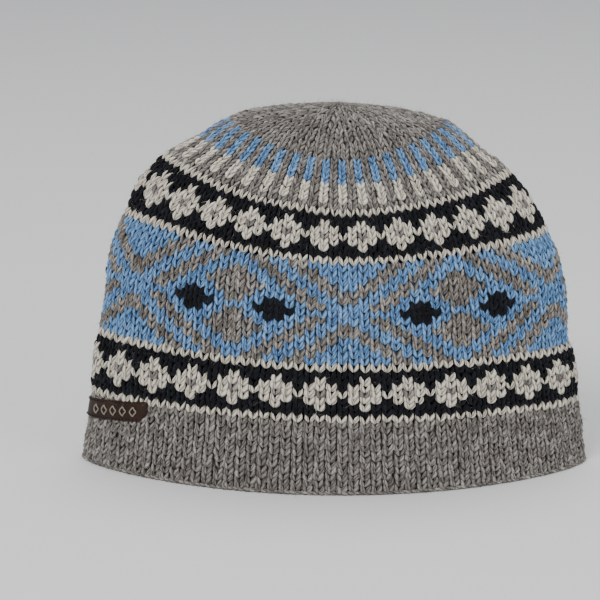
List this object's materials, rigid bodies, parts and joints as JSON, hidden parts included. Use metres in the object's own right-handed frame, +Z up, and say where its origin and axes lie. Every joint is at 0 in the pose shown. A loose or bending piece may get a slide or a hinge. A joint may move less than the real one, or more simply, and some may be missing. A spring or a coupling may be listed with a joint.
{
  "type": "knitted wool hat",
  "caption": "Close knitted winter hat with a ribbed brim, two dark patterned borders, a wide diamond panel and a gathered crown, standing open on its rim.",
  "frame": {"origin": "bottom centre of the rim, on the surface that the hat rests on", "axes": "+Z up through the crown, +X along the hat's width to the right as seen from the front, front towards -Y"},
  "size_m": [0.251, 0.1196, 0.18],
  "materials": {
    "grey_yarn": "heathered wool, soft and matt",
    "black_yarn": "black and cream stranded wool, soft and matt",
    "blue_yarn": "sky blue and taupe stranded wool, soft and matt",
    "brown_label": "dark brown, slightly glossy"
  },
  "bodies": {
    "root": {"brim": "grey_yarn", "lower_border": "black_yarn", "diamond_panel": "blue_yarn", "upper_border": "black_yarn", "crown": "grey_yarn", "label": "brown_label"}
  },
  "joints": []
}
